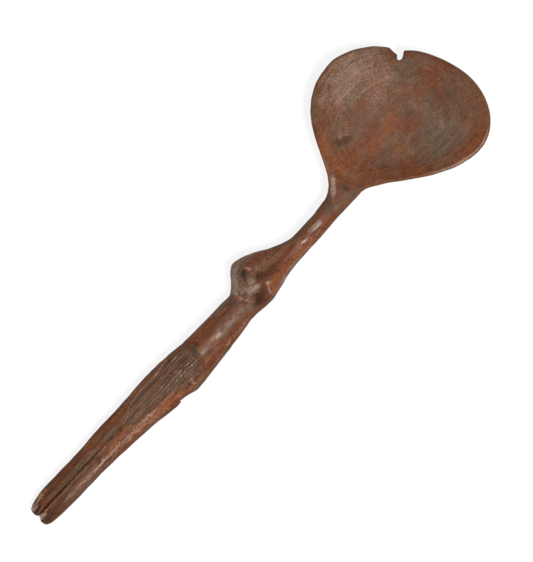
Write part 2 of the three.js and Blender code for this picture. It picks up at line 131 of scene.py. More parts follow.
# Dark ovals: painted shade along the heel's edge, and dirt.
HEEL_SOOT_AND_SHADE = (
    (-50.8, 4, 10, 1.3, 0.45, 96), (-52, -5.2, 8, 1.8, 0.35), (-53, 0.5, 2.4, 4, 0.6, 20),
    (-66, 0, 7, 8, 0.35),
)
HEEL_POLISH = ((-58.2, 5.4, 7, 2, 1, 42),)
BACK_GREY = 0.4  # the worn back has this much ash all over
WARM_BORDER = dict(inside=(13, 5), along=(-56, -40), warmth=0.5)  # pairs: where a ramp is none and full
# A painted highlight along the left lip, which also shines.
LIP_HIGHLIGHT = dict(starts=(-32, -4), ends=(27, 19), inside=1.1, half=0.6, pale=0.7, shine=0.6)
DARK_RIM = dict(along=(-52, -40), inside=1, half=0.65, dark=0.3)
NOTCH_STAIN = dict(at=(19.7, 28.4), reach=3.2, dark=0.5)
# painted shade on the bowl's steep sides
STEEP_SHADE = 0.6


def ramp(value, none, full):
    """An S-shaped ramp, three squares less two cubes of the share of the way from none to full."""
    share = np.clip((value - none) / (full - none), 0, 1)
    return share * share * (3 - 2 * share)


def bell(distance, half):
    """A narrow bell, e to the power of minus the square of the distance in half widths."""
    return np.exp(-(distance / half) ** 2)


def smooth_curve(*pairs):
    """Cubic pieces through (place, value) pairs. The slope at an inner pair is the harmonic mean of its
    neighbours' slopes, or level where they turn, so nothing overshoots."""
    place, value = np.array(sorted(pairs), float).T
    span = np.diff(place)
    slope = np.diff(value) / span
    before, after = 2 * span[1:] + span[:-1], span[1:] + 2 * span[:-1]
    turns = slope[:-1] * slope[1:] <= 0
    first, second = np.where(turns, 1, slope[:-1]), np.where(turns, 1, slope[1:])
    inner = np.where(turns, 0, (before + after) / (before / first + after / second))
    tangent = np.concatenate([slope[:1], inner, slope[-1:]])

    def curve(x):
        """The cubic between the two pairs about x, from their values and slopes."""
        i = np.clip(np.searchsorted(place, x) - 1, 0, len(span) - 1)
        t = np.clip((x - place[i]) / span[i], 0, 1)
        level = value[i] * (1 + 2 * t) * (1 - t) ** 2 + value[i + 1] * t * t * (3 - 2 * t)
        return level + span[i] * (tangent[i] * t * (1 - t) ** 2 - tangent[i + 1] * t * t * (1 - t))

    return curve


def edge_reach(x, side, lobe_at, lobe, fullness, lobe_handle, root_at, root, root_handle):
    """How far the bowl's outline lies from the centre line: level along the neck, then a cubic Bezier curve
    through the flare to the lobe, then a superellipse from the lobe round to the tip, less the worn rim."""
    t = np.linspace(0, 1, FLARE_STEPS)
    mix = np.array([(1 - t) ** 3, 3 * t * (1 - t) ** 2, 3 * t * t * (1 - t), t ** 3])
    flare_x = np.array([root_at, root_at + root_handle, lobe_at - lobe_handle, lobe_at]) @ mix
    flare = np.interp(x, flare_x, np.array([root, root, lobe, lobe]) @ mix)
    share = np.clip((x - lobe_at) / (BOWL_TIP - lobe_at), 0, 1)
    tip = side * TIP_SHIFT
    worn = (side > 0) * WORN_RIM["depth"] * bell(x - WORN_RIM["at"], WORN_RIM["reach"])
    lobe_reach = tip + (lobe - tip) * (1 - share ** fullness) ** (1 / fullness) - worn
    return np.where(x < lobe_at, flare, lobe_reach)


def rim_distance(x, y, edge):
    """Distance inside one side of the bowl's outline: the gap across, over the length of its slope."""
    step = 0.1
    slope = (edge_reach(x + step, **edge) - edge_reach(x - step, **edge)) / (2 * step)
    return (edge_reach(x, **edge) - edge["side"] * y) / np.hypot(1, slope)


def ripple(points, lengths, seed):
    """Seeded unevenness of about -1 to 1: the sum of twelve sine waves in random directions. Their wave
    lengths are 0.7 to 1.4 times the given lengths along the three axes."""
    draw = np.random.default_rng(seed)
    total = 0
    for _ in range(12):
        way = draw.normal(size=3)
        way /= np.linalg.norm(way) * draw.uniform(0.7, 1.4)
        turns = sum(p * w / length for p, w, length in zip(points, way, lengths))
        total = total + np.sin(2 * np.pi * (turns + draw.uniform()))
    return total / 4


def tool_marks(x, y, z, marks):
    """The unevenness that a tool leaves: the sum of ripples, each times its own height."""
    return sum(height * ripple((x, y, z), lengths, seed) for height, lengths, seed in marks)


def ring_slope(y, z):
    """The direction of each ring at its points, from the point before to the point after, one long."""
    along_y = np.roll(y, -1, 1) - np.roll(y, 1, 1)
    along_z = np.roll(z, -1, 1) - np.roll(z, 1, 1)
    size = np.hypot(along_y, along_z) + 1e-9
    return along_y / size, along_z / size


def swell(y, z, amount):
    """Moves the points of each ring out along the ring's own normal, square to its edge, by an amount."""
    slope_y, slope_z = ring_slope(y, z)
    return y + amount * slope_z, z - amount * slope_y


rim_height = smooth_curve(
    (NECK_TOP, NECK_ROOT_MIDDLE), (RIM_BACK, RIM_BACK_HEIGHT), (0, RIM_SIDE_HEIGHT),
    (BOWL_TIP, RIM_TIP_HEIGHT))
keel_line = smooth_curve(
    (NECK_TOP, NECK_ROOT_CREST), (FLOOR_BACK, KEEL_SHIFT), (0, KEEL_SHIFT), (BOWL_TIP, TIP_SHIFT))


def bowl_rings(x, angle):
    """Rings across the bowl. In front a ring runs from one edge over a rounded rim down into the hollow,
    which is a superellipse in both directions and starts at the heel as a parabola. Behind it follows the
    bowl's belly, which turns into the oval of the neck and is planed off level where it rests."""
    across, up = np.cos(angle), np.sin(angle)
    keel = keel_line(x)
    side = np.where(across > 0, edge_reach(x, **RIGHT_EDGE) - keel, edge_reach(x, **LEFT_EDGE) + keel)
    y = keel + across * side
    to_tip = np.clip(x / BOWL_TIP, 0, 1)
    share = ramp(x, NECK_TOP, FLOOR_BACK)
    half_side = np.maximum(side, LEFT_EDGE["lobe"]) / 2
    edge = np.clip(up ** 2 * (1 - to_tip ** 2) * half_side / RIM_ROUNDING, 0, 1)
    lip = RIM_THICKNESS / 2 * share * np.sqrt(1 - (1 - edge) ** 2)
    belly_dish = (1 - to_tip ** HOLLOW_FULLNESS) * (1 - np.abs(across) ** HOLLOW_FULLNESS)
    lip_share = np.minimum(np.where(across > 0, RIGHT_LIP, LEFT_LIP) / side, LIP_LIMIT)
    inner_across = np.clip(np.abs(across) / (1 - lip_share), 0, 1)
    inner_tip = np.clip(to_tip / (1 - RIGHT_LIP / BOWL_TIP), 0, 1)
    dish = (1 - inner_tip ** HOLLOW_FULLNESS) * (1 - inner_across ** HOLLOW_FULLNESS)
    heel = HEEL_AT - HEEL_SKEW * np.clip(y, -HEEL_SPAN, HEEL_SPAN)
    from_heel = (x - heel) / (FLOOR_BACK - heel)
    scoop = 1 - (1 - np.clip((from_heel + np.hypot(from_heel, HEEL_SOFTNESS)) / 2, 0, 1)) ** 2
    crown = NECK_ROOT_HALF * (1 - ramp(x, NECK_TOP, RIM_BACK)) * up
    hollow = (RIM_SIDE_HEIGHT + RIM_THICKNESS / 2 + REST_DEPTH - FLOOR_THICKNESS) * scoop * dish
    deep_belly = (RIM_SIDE_HEIGHT - RIM_THICKNESS / 2 + REST_DEPTH) * belly_dish
    belly = (1 - share) * NECK_ROOT_HALF * -up + share * deep_belly
    z = np.where(up > 0, rim_height(x) + crown + lip - hollow, rim_height(x) - belly - lip)
    x = np.broadcast_to(x, y.shape)
    marked = ramp(x, NECK_TOP, NECK_TOP + MARK_FADE) * (1 - to_tip ** 4)
    y, z = swell(y, z, tool_marks(x, y, z, GOUGES) * marked)
    return x, y, np.maximum(z, 0)


def store_layers(mesh, **layers):
    """Stores each named layer, one number for each corner, for the wood's material to read. Corners that
    come after those of the rings, in the middle of the ends, get none."""
    for name, amount in layers.items():
        values = np.zeros(len(mesh.vertices), np.float32)
        values[:amount.size] = np.clip(amount, 0, 1).ravel()
        layer = mesh.attributes.new(name, "FLOAT", "POINT")
        layer.data.foreach_set("value", values)


def add_object(name, data):
    """Puts a mesh, lamp or camera into the scene, unturned, at the origin."""
    made = bpy.data.objects.new(name, data)
    bpy.context.scene.collection.objects.link(made)
    return made


def solid_piece(name, x, y, z, wood=None, layers=()):
    """Closes rings, given as x, y and z of stations by points, into a solid of some wood with its layers of
    stains,
    painted highlights and painted shade: quads between neighbouring rings, and over each end a fan of
    triangles about the end's middle."""
    rings = np.stack([x, y, z], axis=2)
    stations, points, _ = rings.shape
    index = np.arange(stations * points).reshape(stations, points)
    onward = np.roll(index, -1, 1)
    quads = np.stack([index[:-1], onward[:-1], onward[1:], index[1:]], axis=2).reshape(-1, 4)
    low, high = np.full(points, index.size), np.full(points, index.size + 1)
    low_fan = np.stack([low, onward[0], index[0]], axis=1)
    high_fan = np.stack([high, index[-1], onward[-1]], axis=1)
    corners = np.concatenate([rings.reshape(-1, 3), rings[:1].mean(1), rings[-1:].mean(1)])
    mesh = bpy.data.meshes.new(name)
    mesh.from_pydata((corners * MM).tolist(), [], quads.tolist() + low_fan.tolist() + high_fan.tolist())
    mesh.shade_smooth()
    mesh.set_sharp_from_angle(angle=math.radians(SHARP_EDGE))
    if wood:
        mesh.materials.append(wood)
    store_layers(mesh, **dict(layers))
    return add_object(name, mesh)


def corners_of(mesh):
    """The corners of a mesh in millimetres and their normals, each as three arrays."""
    place = np.empty(len(mesh.vertices) * 3, np.float32)
    mesh.vertices.foreach_get("co", place)
    normal = np.empty(len(mesh.vertices) * 3, np.float32)
    mesh.vertex_normals.foreach_get("vector", normal)
    return place.reshape(-1, 3).T.astype(float) / MM, normal.reshape(-1, 3).T.astype(float)


def blots(x, y, *places):
    """Soft ovals at (x, y, half length, half width, strength, and for some a turn in degrees): stains,
    painted highlights and painted shade. Each is a bell of its distance from its middle, and where some
    overlap the strongest counts."""
    found = np.zeros_like(x)
    for at_x, at_y, long, wide, strength, *turned in places:
        c, s = math.cos(math.radians(sum(turned))), math.sin(math.radians(sum(turned)))
        along = ((x - at_x) * c + (y - at_y) * s) / long
        over = ((y - at_y) * c - (x - at_x) * s) / wide
        found = np.maximum(found, strength * np.exp(-(along ** 2 + over ** 2) ** STAIN_EDGE))
    return found


def oval_layers(x, y, z, front, wander, ragged, clear):
    """The layers of ovals, for stains, painted highlights and painted shade, times the share of front.
    Ragged ones get uneven outlines, because ripples times a reach move their places about. Where a layer
    has clear ones too, the stronger of both counts."""
    reach, lengths, seeds = wander
    moved = [place + far * ripple((x, y, z), lengths, seed)
             for place, far, seed in zip((x, y), reach, seeds)]
    layers = {key: front * blots(*moved, *places) for key, places in ragged.items()}
    for key, places in clear.items():
        layers[key] = np.maximum(layers.get(key, 0), front * blots(x, y, *places))
    return layers


class Vein:
    """A socket among a material's nodes. Sums, differences and products of it add Math nodes."""

    def __init__(self, tree, socket=None):
        self.tree, self.socket = tree, socket

    def node(self, kind, settings=(), inputs=(), output=0):
        """Adds a node, sets its settings, then links its inputs or gives them values."""
        made = self.tree.nodes.new("ShaderNode" + kind)
        for key, value in dict(settings).items():
            setattr(made, key, value)
        for key, value in dict(inputs).items():
            if isinstance(value, Vein):
                self.tree.links.new(value.socket, made.inputs[key])
            else:
                made.inputs[key].default_value = value
        return Vein(self.tree, made.outputs[output])

    def maths(self, operation, first, second):
        """The sum, difference or product of two values."""
        return self.node("Math", {"operation": operation}, {0: first, 1: second})

    def __add__(self, other):
        return self.maths("ADD", self, other)

    def __sub__(self, other):
        return self.maths("SUBTRACT", self, other)

    def __rsub__(self, other):
        return self.maths("SUBTRACT", other, self)

    def __mul__(self, other):
        return self.maths("MULTIPLY", self, other)

    __radd__ = __add__
    __rmul__ = __mul__

    def ramp(self, low, high):
        """An S-shaped ramp from 0 at low to 1 at high."""
        settings = {"interpolation_type": "SMOOTHSTEP"}
        return self.node("MapRange", settings, {"Value": self, "From Min": low, "From Max": high})

    def over(self, under, colour):
        """This share of a colour laid over another one."""
        return self.node("Mix", {"data_type": "RGBA"}, {0: self, 6: under, 7: colour}, 2)

    def shade(self, colour):
        """A colour made this many times as light."""
        settings = {"data_type": "RGBA", "blend_type": "MULTIPLY"}
        return self.node("Mix", settings, {0: 1, 6: colour, 7: self}, 2)


def carved_wood(name, red, brown, roughness, ragged, cloud_waves, mottle_waves, mark_waves, contrast):
    """Old oiled hardwood. Wide and middling noise turn it between red and brown. Specks, middling noise,
    long grain and the marks of tools make it lighter and darker, each by its share in contrast. The painted
    layers add warm and grey stains, a whitish worn film with painted sheen, worn wood with painted
    highlights, and dirt with painted shade, all with more or less ragged edges; darkening with clear edges
    in the cuts and just inside the rim, with painted shade on steep sides and in the groove; and rubbed
    places that shine."""
    material = bpy.data.materials.new(name)
    material.use_nodes = True
    tree = material.node_tree
    shader = tree.nodes["Principled BSDF"]
    start = Vein(tree)
    place = start.node("TexCoord", output="Object")

    def noise(waves, detail, shift):
        """Noise about nothing, with so many waves to a metre along each axis."""
        values = {0: place, 1: waves, 2: (shift, shift, shift)}
        spread = start.node("VectorMath", {"operation": "MULTIPLY_ADD"}, values)
        values = {"Vector": spread, "Scale": 1, "Detail": detail, "Roughness": 0.6}
        return start.node("TexNoise", inputs=values) - 0.5

    def layer(title):
        """One of the mesh's painted layers."""
        return start.node("Attribute", {"attribute_name": title}, output="Fac")

    cloud = noise(cloud_waves, 3, 3)
    mottle = noise(mottle_waves, 3, 5)
    speck = noise(SPECK_WAVES, 3, 7)
    grain = noise(GRAIN_WAVES, 3, 9)
    marks = noise(mark_waves, 2, 11)

    def broken(title, unevenness):
        """One of the painted layers, whose edge is broken up by the unevenness, and empty where the layer
        is.
        """
        strength = layer(title)
        return (strength + unevenness * strength.ramp(0, 0.25) * ragged).ramp(0.05, 1)

    ember = broken("ember", mottle * 1.5 + speck * 1.2)
    ash = broken("ash", mottle * -1.5 + speck * 1.2)
    pale = broken("pale", speck * 2 + marks * 1.5)
    bloom_and_sheen = broken("bloom_and_sheen", speck * 0.8 + marks * 0.5)
    soot_and_shade = broken("soot_and_shade", mottle * 1.2 + speck * 1.5)
    # The cut layer: darker in the cuts and just inside the rim, and painted shade on steep sides and in the
    # groove.
    cut = layer("cut")
    polish = layer("polish")
    wood = (cloud * 1.4 + (mottle * 1.2 + grain * 0.8) * ragged).ramp(-0.18, 0.18).over(red, brown)
    # Laid over in turn: warm stains, grey stains, a worn film and painted sheen, worn wood and painted
    # highlights, dirt and painted shade.
    for amount, share, colour in ((ember, 0.85, EMBER), (ash, 0.8, ASH), (bloom_and_sheen, 0.9, BLOOM_AND_SHEEN),
                                  (pale, 0.9, PALE_AND_HIGHLIGHT), (soot_and_shade, 0.9, SOOT_AND_SHADE)):
        wood = (amount * share).over(wood, colour)
    light = (1 + speck * contrast["speck"] + mottle * contrast["mottle"] + grain * contrast["grain"]
             + marks * contrast["marks"])
    wood = cut.over(light.shade(wood), SOOT_AND_SHADE)
    rough = roughness + ash * 0.12 + soot_and_shade * 0.2 + cut * 0.4 + speck * 0.35 + mottle * 0.35 - polish * 0.15
    coat = polish * (mottle * 0.8 + 0.3)
    height = speck * 0.3 + mottle * 0.6 + grain * 0.6 + marks * 0.7
    values = {"Strength": RELIEF_STRENGTH, "Distance": RELIEF * MM, "Height": height}
    bump = start.node("Bump", inputs=values)
    results = {"Base Color": wood, "Roughness": rough, "Coat Weight": coat, "Normal": bump}
    for title, vein in results.items():
        tree.links.new(vein.socket, shader.inputs[title])
    shader.inputs["Coat Roughness"].default_value = RUBBED_ROUGHNESS
    shader.inputs["Specular IOR Level"].default_value = OIL_SHINE
    return material


turn = np.linspace(0, 2 * np.pi, RING_POINTS, endpoint=False)
ring_angle = (turn + FRONT_BUNCHING * np.sin(2 * turn))[None, :]
bowl_share = np.linspace(0, 1, BOWL_STATIONS)
bowl_x = NECK_TOP + (BOWL_TIP - TIP_FLAT - NECK_TOP) * (1 - (1 - bowl_share) ** TIP_BUNCHING)
bowl = solid_piece("bowl_carved", *bowl_rings(bowl_x[:, None], ring_angle))

notch_level = np.array(NOTCH_LEVELS)[:, None]
notch_x, notch_y = (np.array(plan) + NOTCH_SWAY * np.sin(NOTCH_TURNS * notch_level)
                    for plan in zip(*NOTCH))
breakage = solid_piece("breakage", notch_x, notch_y, np.broadcast_to(notch_level, notch_x.shape))
broken_rim = bowl.modifiers.new("broken_rim", "BOOLEAN")
broken_rim.object = breakage
broken_rim.operation = "DIFFERENCE"
broken_rim.solver = "EXACT"
bowl.data = bpy.data.meshes.new_from_object(bowl.evaluated_get(bpy.context.evaluated_depsgraph_get()))
bowl.modifiers.clear()
bpy.data.objects.remove(breakage)
bowl.data.materials.clear()

(x, y, z), (_, _, normal_z) = corners_of(bowl.data)
front = ramp(normal_z, -0.1, 0.3)
steep = ramp(0.45 - np.abs(normal_z), 0, 0.35)
left_gap = edge_reach(x, **LEFT_EDGE) + y
rim_gap = np.minimum(rim_distance(x, y, RIGHT_EDGE), rim_distance(x, y, LEFT_EDGE))
warm_border = ramp(left_gap, *WARM_BORDER["inside"]) * ramp(x, *WARM_BORDER["along"])
lip_run = ramp(x, *LIP_HIGHLIGHT["starts"]) * ramp(x, *LIP_HIGHLIGHT["ends"])
lip_highlight = bell(left_gap - LIP_HIGHLIGHT["inside"], LIP_HIGHLIGHT["half"]) * lip_run
dark_rim = (DARK_RIM["dark"] * bell(rim_gap - DARK_RIM["inside"], DARK_RIM["half"])
            * (1 - ramp(y, 0, -6) * lip_run) * ramp(x, *DARK_RIM["along"]))
notch_gap = np.hypot(x - NOTCH_STAIN["at"][0], y - NOTCH_STAIN["at"][1]) / NOTCH_STAIN["reach"]
notch_near = np.exp(-notch_gap ** 4)
layers = oval_layers(
    x, y, z, front, BOWL_WANDER, dict(ash=BOWL_ASH, ember=BOWL_EMBER, pale=BOWL_PALE_AND_SHEEN, soot_and_shade=BOWL_SOOT_AND_SHADE),
    dict(ash=HEEL_ASH, ember=HEEL_EMBER, pale=HEEL_HIGHLIGHTS, soot_and_shade=HEEL_SOOT_AND_SHADE, polish=HEEL_POLISH))
layers["ash"] += BACK_GREY * (1 - front)
# Warmer along the left border, a painted highlight and shine along the left lip, and dark round the notch.
others = dict(
    ember=WARM_BORDER["warmth"] * warm_border * front, pale=LIP_HIGHLIGHT["pale"] * lip_highlight * front,
    polish=LIP_HIGHLIGHT["shine"] * lip_highlight * front, soot_and_shade=NOTCH_STAIN["dark"] * notch_near)
for key, amount in others.items():
    layers[key] = np.maximum(layers[key], amount)
# Painted shade on the steep sides, and a darker line just inside the rim.
layers["cut"] = np.maximum(STEEP_SHADE * steep, dark_rim * front)
store_layers(bowl.data, **layers)
bowl_wood = carved_wood(
    "bowl_wood", BOWL_RED, BOWL_BROWN, roughness=0.56, ragged=0.35,
    cloud_waves=(60, 75, 75), mottle_waves=(260, 300, 300), mark_waves=(30, 30, 1300),
    contrast=dict(speck=1.6, mottle=0.7, grain=0.5, marks=0.6))
bowl.data.materials.append(bowl_wood)
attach(bowl, "root")
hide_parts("bowl")

# Neck. A slender round stem between the bowl and the figure's shoulders, whittled from the same billet.
# Hands have closed on it most, so it is the smoothest and glossiest part of the spoon.
# Its stains, painted highlights and painted shade run on over the joints, so the neck, bust and torso share
# one list of them.
BUST_TOP = -106  # joint of neck and bust
TORSO_TOP = -141
HIPS_TOP = -177
SECTION_KEYS = ("right", "left", "front", "back", "crest", "fullness")  # after the place along the handle
UPPER_SECTIONS = (
    (NECK_TOP, 4.4, 7.3, 17.4, 7, NECK_ROOT_CREST, 2),
    (-77, 3.4, 7.7, 17.1, 7.3, -1.3, 2),
    (-92, 3.45, 7.9, 17, 7.3, -1.4, 2),
    (BUST_TOP, 8.6, 8.6, 17.6, 5.6, 0, 2),
    (-115, 13.9, 10.3, 18.2, 4.6, 2, 2),
    (-126, 17.3, 12.2, 19, 3.4, 4.5, 2),
    (TORSO_TOP, 6.6, 11.1, 16.8, 3.6, -0.8, 2.1),
    (-147, 6.9, 11.95, 17.2, 3.4, -0.2, 2.1),
    (-158, 7, 13.2, 17.8, 3, 0.4, 2.1),
    (-168, 7.3, 14.6, 17.4, 2.4, 0.3, 2.15),
    (HIPS_TOP, 7.6, 15.7, 17, 1.8, 0, 2.2),
)
STATION_GAP = 0.5
KNIFE_FLATS = ((0.14, (16, 6, 6), 21), (0.06, (6, 3, 3), 22))  # long along the billet and short across it
HANDLE_RED = (0.168, 0.048, 0.02, 1)
HANDLE_BROWN = (0.155, 0.072, 0.039, 1)
UPPER_WANDER = ((1, 0.6), (7, 5, 5), (31, 32))
UPPER_SIDE_SHADE, WARM_SIDE_EASE = 0.22, 0.8  # painted shade on the steep sides, less on the breasts' warm outer sides
WARM_RIGHT, WARM_LEFT, WARM_LEFT_ALONG = (11, 14), (-8.6, -9.6), (-127, -121)
UPPER_EMBER = (
    (-82, -5, 2.5, 1.3, 1.1), (-93, -5.6, 14, 2, 0.9), (-110, -6, 6, 2.4, 0.9),
    (-115.5, 12, 6, 1.5, 0.6, -30), (-116.5, -6.8, 6.5, 3.2, 1.3, 10), (-119, -9.8, 5, 2, 1.4, 8),
    (-121.5, 0.5, 2.5, 1.5, 0.5), (-124.5, 15.7, 7, 1.6, 1.2, -3), (-125.5, -4.6, 2.5, 1.6, 0.7),
    (-130.5, 3, 1.6, 1.2, 0.9), (-150, -7, 8, 2.5, 0.4), (-159, -10.3, 4, 0.9, 1, 8),
    (-161, 0.2, 16, 5, 0.8), (-166, -8, 9, 3, 0.6, 8), (-170, 5.2, 6, 1.2, 0.9), (-173, -7.5, 2.5, 2, 1),
)
UPPER_ASH = (
    (-68, 0, 7, 5, 0.6), (-80, -1, 8, 1.5, 0.5), (-108, 4.2, 4, 1.5, 0.6, -10), (-118, 6, 6, 2, 0.6, -8),
    (-119.8, 8.2, 2.6, 1.8, 0.7), (-124, 6, 3, 2.5, 0.8), (-126, 4, 5, 3, 0.7),
    (-128.8, 9.3, 5.2, 3.4, 1.1, 62), (-131, 0, 5, 4, 0.8), (-133, 4, 3.5, 3, 0.9), (-136.5, -6, 3, 3, 0.9),
    (-141.5, 2, 4, 3.5, 0.7), (-149, 5.1, 10, 1.4, 0.9), (-156.5, -3, 1.2, 2.2, 0.9),
    (-160, -11.3, 12, 1.2, 0.5, 7), (-175.6, 0, 3, 6, 0.9), (-180, -10.5, 5.5, 1, 0.7, 52),
)
# Whitish ovals: painted reflections between the breasts and round the right breast's underside, and painted
# sheen beside the neck's highlight.
UPPER_BLOOM_AND_SHEEN = (
    (-80, -0.9, 6, 0.9, 0.6), (-126.2, 3.2, 2.2, 2.2, 0.65), (-126.4, -0.9, 2.7, 1.7, 0.9, -8),
    (-127.4, 13.8, 2.4, 0.7, 1, 14), (-129, -0.3, 4.4, 2.5, 0.6, -6), (-131, 1.8, 3.5, 2.2, 0.3),
    (-131, 10.5, 4.4, 2, 0.55, 60), (-134, 4.4, 2.4, 1.8, 0.45, 60),
)
# Pale ovals: mostly painted highlights, on the neck's crest and lower side, the breasts' apexes and rims,
# the crease under the bust and the belly; a few are worn flecks.
UPPER_PALE_AND_HIGHLIGHTS = (
    (-64, -3, 4, 1.2, 0.55), (-80, -2.4, 4, 1.2, 0.6), (-82, -5, 2.2, 1.1, 0.7), (-90, -7, 14, 0.8, 0.45),
    (-90.6, -2.9, 2.4, 0.9, 0.6, 8), (-103, -7.4, 8, 0.9, 0.6, 2), (-112, -8.4, 4, 1.2, 0.6, 14),
    (-113.5, 4.8, 2.5, 0.9, 0.5, -12), (-117, 5.2, 7, 1.1, 0.45, -4), (-120.7, -4.1, 1, 1, 1.8),
    (-122.3, 9.6, 2.2, 0.7, 0.9, -68), (-122.7, -7.2, 2.1, 0.7, 1.1, 64), (-126.6, 14, 2.8, 0.9, 1.1, 14),
    (-128.4, 14.4, 1.6, 0.9, 1.2, 30), (-130.6, 12.3, 2.6, 0.9, 0.85, 42), (-133.2, 9.2, 5, 2.1, 0.85, 54),
    (-136.4, 6.2, 2.8, 2, 1, 55), (-136.5, 0.3, 6, 1, 0.4, -69), (-148, 5.4, 9, 1, 0.3),
    (-148, -10.2, 8, 1.1, 0.5, 7), (-148.5, -3, 6, 1.3, 0.45), (-159, -10.9, 2.2, 0.7, 0.9, 10),
    (-160.5, -3.5, 3.4, 1.5, 0.6), (-171, -4, 4.5, 0.7, 0.6, 2),
)
# Dark ovals: dirt, and painted shade in the crease between the breasts, under the bust, beneath the left
# breast and above the belly's ledge.
UPPER_SOOT_AND_SHADE = (
    (-66, 0, 7, 8, 0.35), (-84, 1.2, 18, 1.6, 0.4), (-102, -0.6, 6, 1.4, 0.5),
    (-104, 4.5, 8, 1.4, 0.4, -16), (-106, -2, 3, 2, 0.3), (-112, -0.4, 9, 1.7, 0.5),
    (-121.5, 2.6, 4.2, 1.2, 0.8, -6), (-126.3, 8.8, 3, 1.9, 0.85, 72), (-126.5, -5.3, 4.4, 2.3, 0.75, 12),
    (-127.6, 6.7, 2, 1.4, 0.7, 30), (-128, -9.6, 4, 1.4, 0.5), (-130.3, -6.8, 5.6, 3.3, 0.85, 10),
    (-131.6, -7.2, 2.4, 1.5, 1, 10), (-138.6, 0.5, 5, 1, 0.6, -69), (-142.5, 1.7, 5, 3.3, 0.6),
    (-147.5, 1.2, 6, 2.2, 0.62), (-152, -7, 10, 2.4, 0.4, 4), (-156, -9, 1.2, 1.6, 0.5),
    (-160, 0.7, 18, 3.2, 0.64), (-160.5, -7, 3, 1.6, 0.45), (-163, -8.5, 8, 2, 0.3, 6),
    (-168, -9, 2.5, 1.5, 0.5), (-171, -7, 5, 2, 0.6), (-172.5, 1.4, 3.5, 2.8, 0.78),
    (-175.6, 1, 3, 5.5, 0.6),
)
UPPER_POLISH = (
    (-80, -2, 4.5, 1.3, 0.6), (-90.5, -2.6, 2.8, 1.2, 0.7), (-120.7, -4.1, 1.4, 1.4, 1),
    (-122.3, 9.6, 2.4, 1, 1, -68), (-122.7, -7.2, 2.4, 0.8, 1, 64), (-148, -2.9, 6, 1.5, 0.3),
    (-161, -3.2, 4.5, 1.9, 0.45), (-171, -4, 4, 0.8, 0.4),
)


def body_curves(sections):
    """One smooth curve along the handle for each measure of its main cross sections."""
    place, *sizes = zip(*sections)
    return {key: smooth_curve(*zip(place, size)) for key, size in zip(SECTION_KEYS, sizes)}


def squared(value, fullness):
    """A cosine or sine bent into the superellipse of that fullness: 2 is an oval and more is squarer."""
    return np.sign(value) * np.abs(value) ** (2 / fullness)


def body_rings(curves, x, angle):
    """Rings across the handle: a superellipse whose right and left halves differ about the crest line."""
    size = {key: curve(x) for key, curve in curves.items()}
    across, up = squared(np.cos(angle), size["fullness"]), squared(np.sin(angle), size["fullness"])
    reach = np.where(across > 0, size["right"] - size["crest"], size["left"] + size["crest"])
    y = size["crest"] + across * reach
    z = (size["front"] + size["back"]) / 2 + (size["front"] - size["back"]) / 2 * up
    return np.broadcast_to(x, y.shape), y, z, up


def stations(low, high, gap=STATION_GAP):
    """Places along the spoon from one joint to the next, evenly spaced, as a column."""
    return np.linspace(low, high, math.ceil((high - low) / gap) + 1)[:, None]


def steepness(y, z):
    """1 where a ring's edge stands upright and 0 where it lies level, by the slope between its points."""
    return ramp(np.abs(ring_slope(y, z)[1]), 0.82, 1)


def upper_stains_and_light(x, y, z, up):
    """The stains, painted highlights and painted shade of the neck, bust and torso: soft ovals in front,
    and painted shade on the sides.
    """
    front = ramp(up, 0, 0.3)
    layers = oval_layers(
        x, y, z, front, UPPER_WANDER, dict(ember=UPPER_EMBER, ash=UPPER_ASH, soot_and_shade=UPPER_SOOT_AND_SHADE),
        dict(bloom_and_sheen=UPPER_BLOOM_AND_SHEEN, pale=UPPER_PALE_AND_HIGHLIGHTS, polish=UPPER_POLISH))
    # Painted shade on the steep sides, eased on the breasts' warm outer sides.
    warm_left = ramp(y, *WARM_LEFT) * ramp(x, *WARM_LEFT_ALONG)
    warm_side = np.maximum(ramp(y, *WARM_RIGHT), warm_left)
    return dict(layers, cut=UPPER_SIDE_SHADE * steepness(y, z) * (1 - WARM_SIDE_EASE * warm_side))


upper_body = body_curves(UPPER_SECTIONS)
x, y, z, up = body_rings(upper_body, stations(BUST_TOP, NECK_TOP), ring_angle)
y, z = swell(y, z, tool_marks(x, y, z, KNIFE_FLATS) * ramp(NECK_TOP - x, 0, MARK_FADE))
handle_wood = carved_wood(
    "handle_wood", HANDLE_RED, HANDLE_BROWN, roughness=0.36, ragged=0.4,
    cloud_waves=(45, 110, 110), mottle_waves=(180, 360, 360), mark_waves=(20, 700, 700),
    contrast=dict(speck=2.2, mottle=1, grain=0.6, marks=0.6))
neck = solid_piece("neck_carved", x, y, z, handle_wood, upper_stains_and_light(x, y, z, up))
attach(neck, "root")
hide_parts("neck")

# Bust. Narrow shoulders and two breasts that stand out of the same wood to bowed front edges.
# Their undersides are pared back flat to the waist, and below them the wood is darkened, as dirt and as
# painted shade.
RIGHT_BREAST = dict(apex=-122.5, across=10, rise=7.2, lower=13)
LEFT_BREAST = dict(apex=-120.5, across=-5, rise=7.2, lower=11.5)
BREAST_BOW = 0.09
BREAST_UPPER = 18
BREAST_LOWER_FULLNESS = 1.15
BREAST_HALF_WIDTH = 10
BUST_GAP = 0.3  # between stations


def hump(distance, reach):
    """Half of a cosine wave: 1 at no distance and 0 at the reach and beyond."""
    return (1 + np.cos(np.pi * np.minimum(1, np.abs(distance) / reach))) / 2


def breast(x, y, apex, across, rise, lower):
    """How far a breast stands out: a hump across it and towards the neck from an edge that bows back as the
    square of the distance from the apex, and a nearly straight fall below that edge."""
    along = x - (apex - BREAST_BOW * (y - across) ** 2)
    below = 1 - np.minimum(1, np.maximum(0, -along) / lower) ** BREAST_LOWER_FULLNESS
    along_rise = np.where(along > 0, hump(along, BREAST_UPPER), below)
    return rise * hump(y - across, BREAST_HALF_WIDTH) * along_rise


